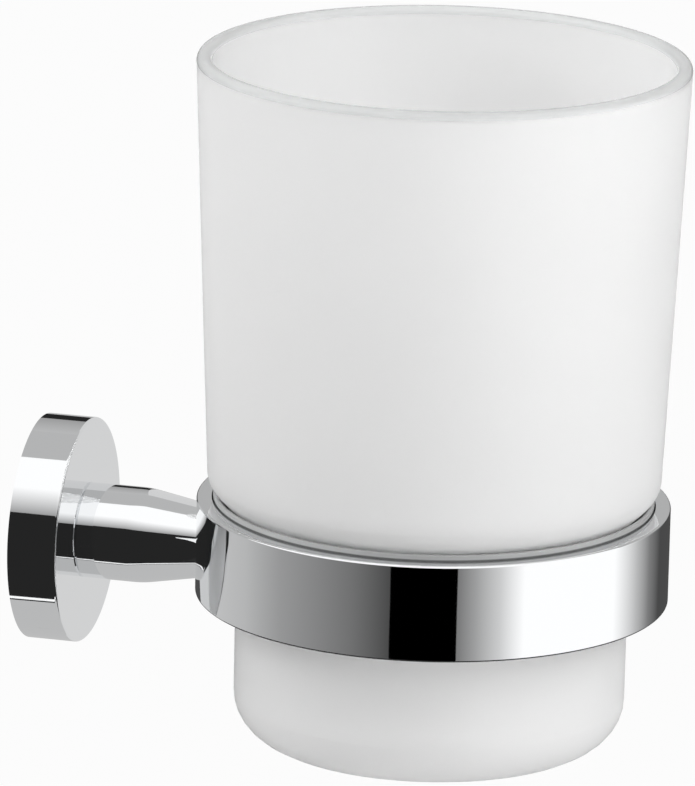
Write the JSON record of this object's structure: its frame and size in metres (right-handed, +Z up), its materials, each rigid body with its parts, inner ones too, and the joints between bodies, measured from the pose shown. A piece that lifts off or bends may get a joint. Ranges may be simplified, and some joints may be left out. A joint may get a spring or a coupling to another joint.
{
  "type": "wall-mounted tumbler holder",
  "caption": "Frosted glass tumbler standing in a chromed ring with a clear liner, carried by a tapered post from a round wall rosette; the tumbler lifts out.",
  "frame": {"origin": "centre of the wall face, on the axis of the post", "axes": "+Y into the wall, the holder stands out along -Y; +Z up along the tumbler's axis; the part is symmetric about the plane X = 0"},
  "size_m": [0.0749, 0.1002, 0.107],
  "materials": {
    "frosted_glass": "satin-etched outside, polished lip",
    "clear_plastic": "clear, polished",
    "polished_chrome": "mirror-polished chrome plate",
    "stainless_steel": "plain turned",
    "zinc_plate": "zinc-plated, dull"
  },
  "bodies": {
    "holder": {"wall_bracket": "zinc_plate", "rosette": "polished_chrome", "set_screw": "stainless_steel", "post": "polished_chrome", "post_bolt": "stainless_steel", "post_washer": "stainless_steel", "locating_pin": "stainless_steel", "holder_ring": "polished_chrome", "ring_screw": "stainless_steel", "ring_liner": "clear_plastic"},
    "tumbler": {"tumbler": "frosted_glass"}
  },
  "joints": [
    {"name": "tumbler_lift", "type": "slide", "parent": "holder", "child": "tumbler", "axis": [0, 0, 1], "range_m": [0, 0.045]}
  ]
}
